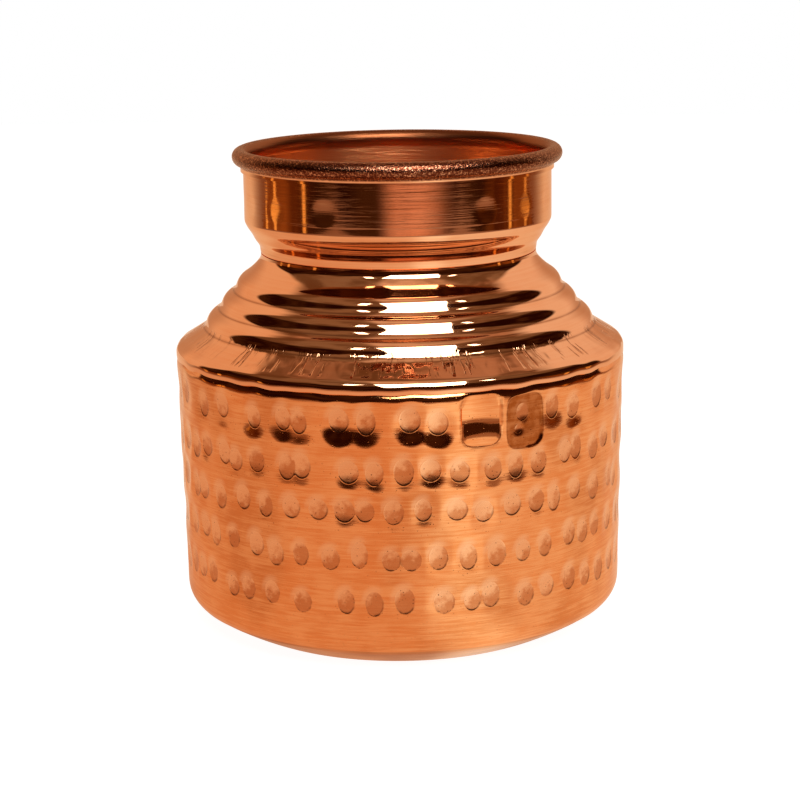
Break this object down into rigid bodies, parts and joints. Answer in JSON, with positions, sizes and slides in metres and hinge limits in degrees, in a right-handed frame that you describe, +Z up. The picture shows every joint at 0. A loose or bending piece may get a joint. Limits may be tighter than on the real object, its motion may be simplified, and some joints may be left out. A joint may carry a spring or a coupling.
{
  "type": "copper kalash",
  "caption": "Round copper water pot with a hammered drum, a ribbed shoulder, a waisted neck and a rolled mouth stiffened by a wire.",
  "frame": {"origin": "middle of the flat ring that the pot stands on, in the plane of the surface under it", "axes": "+Z up along the pot's axis, towards the mouth; -Y is the side that the picture shows"},
  "size_m": [0.1152, 0.1152, 0.1233],
  "materials": {
    "drum_copper": "hammered satin copper with fine brush lines round the drum",
    "base_copper": "satin copper with light tarnish",
    "shoulder_copper": "mirror-polished copper",
    "neck_copper": "polished copper with buffing lines and a rough, darker rolled mouth",
    "wire_copper": "drawn copper wire",
    "braze_metal": "brazing metal as it flowed"
  },
  "bodies": {
    "root": {"base_dish": "base_copper", "drum_wall": "drum_copper", "shoulder": "shoulder_copper", "neck_collar": "neck_copper", "rim_wire": "wire_copper", "base_braze": "braze_metal", "shoulder_braze": "braze_metal", "neck_braze": "braze_metal"}
  },
  "joints": []
}
